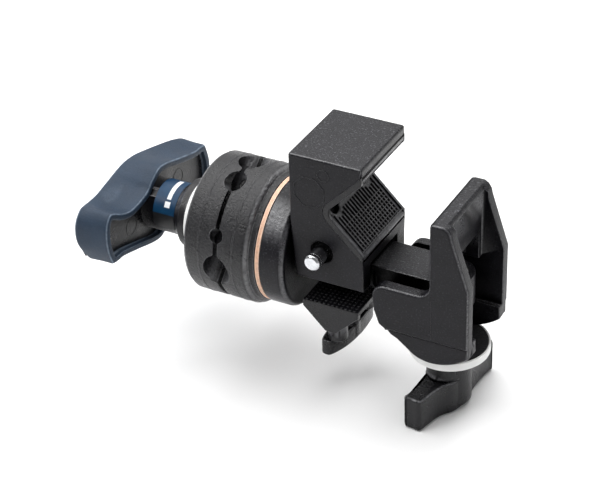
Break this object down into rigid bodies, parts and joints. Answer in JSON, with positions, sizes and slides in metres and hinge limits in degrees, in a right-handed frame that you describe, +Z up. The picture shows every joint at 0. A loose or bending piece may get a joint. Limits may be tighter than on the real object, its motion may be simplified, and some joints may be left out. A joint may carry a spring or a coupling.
{
  "type": "super clamp with grip head",
  "caption": "V-jaw tube clamp with a screw-closed swinging jaw and a round two-plate grip head held in its stud socket.",
  "frame": {"origin": "theoretical apex of the fixed V jaw's seat, at mid width", "axes": "+X along the grip head's bolt, from the large T-handle towards the moving jaw; +Z up, from the closing screw's handle towards the jaw's top; Y along the clamped tube"},
  "size_m": [0.1825, 0.0906, 0.1208],
  "materials": {
    "black_casting": "satin black powder coat over cast alloy",
    "black_texture": "wrinkled black powder coat",
    "black_nylon": "moulded, fine grain",
    "black_facing": "coarse grain",
    "plated_steel": "zinc plated",
    "spring_steel": "drawn wire",
    "chrome": "polished",
    "white_nylon": "natural nylon",
    "friction_copper": "friction lining",
    "blue_rubber": "soft matte grain",
    "blue_label": "printed film"
  },
  "bodies": {
    "clamp": {"clamp_body": "black_casting", "fixed_jaw_pad": "black_nylon", "pivot_pin": "plated_steel", "jaw_spring": "spring_steel", "screw_bush": "plated_steel", "lock_pin_plug": "plated_steel", "lock_pin_spring": "spring_steel", "stud_bolt": "plated_steel", "back_plate": "black_casting"},
    "swing_jaw": {"moving_jaw": "black_casting", "moving_jaw_pad": "black_nylon"},
    "jaw_thrust": {"jaw_washer": "white_nylon", "washer_facing": "black_facing"},
    "jaw_knob": {"jaw_screw": "plated_steel", "jaw_handle": "black_nylon"},
    "stud_pin": {"lock_pin": "chrome"},
    "wedge": {"wedge_insert": "black_nylon"},
    "stud_lever": {"lock_screw": "plated_steel", "lock_lever": "black_nylon"},
    "head_middle": {"friction_disc": "friction_copper", "middle_plate": "black_texture", "plate_spring": "spring_steel"},
    "head_front": {"front_plate": "black_texture", "thrust_ring": "black_nylon", "grip_washer": "white_nylon"},
    "head_handle": {"grip_handle_core": "black_nylon", "grip_handle_cover": "blue_rubber", "grip_nut": "plated_steel", "label_band": "blue_label"}
  },
  "joints": [
    {"name": "washer_lift", "type": "slide", "parent": "clamp", "child": "jaw_thrust", "axis": [0, 0, 1], "range_m": [-0.0078, 0.0131]},
    {"name": "jaw_screw_turn", "type": "hinge", "parent": "jaw_thrust", "child": "jaw_knob", "pos_m": [0.0485, 0, -0.08], "axis": [0, 0, 1], "range_deg": [-1093, 1860]},
    {"name": "jaw_swing", "type": "hinge", "parent": "clamp", "child": "swing_jaw", "pos_m": [0.03, 0, -0.0435], "axis": [0, -1, 0], "range_deg": [-24.2, 40.6], "deforming": ["jaw_spring"]},
    {"name": "lock_pin_press", "type": "slide", "parent": "clamp", "child": "stud_pin", "axis": [0, 1, 0], "range_m": [0, 0.009], "stiffness_N_per_m": 300, "springref_m": -0.004, "deforming": ["lock_pin_spring"]},
    {"name": "wedge_slide", "type": "slide", "parent": "clamp", "child": "wedge", "axis": [0, 0, 1], "range_m": [-0.0039, 0.0001]},
    {"name": "lock_lever_turn", "type": "hinge", "parent": "wedge", "child": "stud_lever", "pos_m": [-0.0013, 0, -0.07], "axis": [0, 0, 1], "range_deg": [-1080, 0]},
    {"name": "head_swivel", "type": "hinge", "parent": "clamp", "child": "head_middle", "pos_m": [-0.04, 0, -0.03275], "axis": [1, 0, 0], "continuous": true},
    {"name": "plate_slide", "type": "slide", "parent": "head_middle", "child": "head_front", "axis": [1, 0, 0], "range_m": [-0.0041, 0.0011], "deforming": ["plate_spring"]},
    {"name": "grip_handle_turn", "type": "hinge", "parent": "head_front", "child": "head_handle", "pos_m": [-0.09, 0, -0.03275], "axis": [1, 0, 0], "range_deg": [-1152, 288]}
  ],
  "couplings": [
    {"joint": "washer_lift", "follows": "jaw_screw_turn", "m_per_rad": 0.00039789},
    {"joint": "jaw_swing", "follows": "jaw_screw_turn", "ratio": 0.021507},
    {"joint": "wedge_slide", "follows": "lock_lever_turn", "m_per_rad": 0.00019894},
    {"joint": "plate_slide", "follows": "grip_handle_turn", "m_per_rad": 0.00019894}
  ]
}
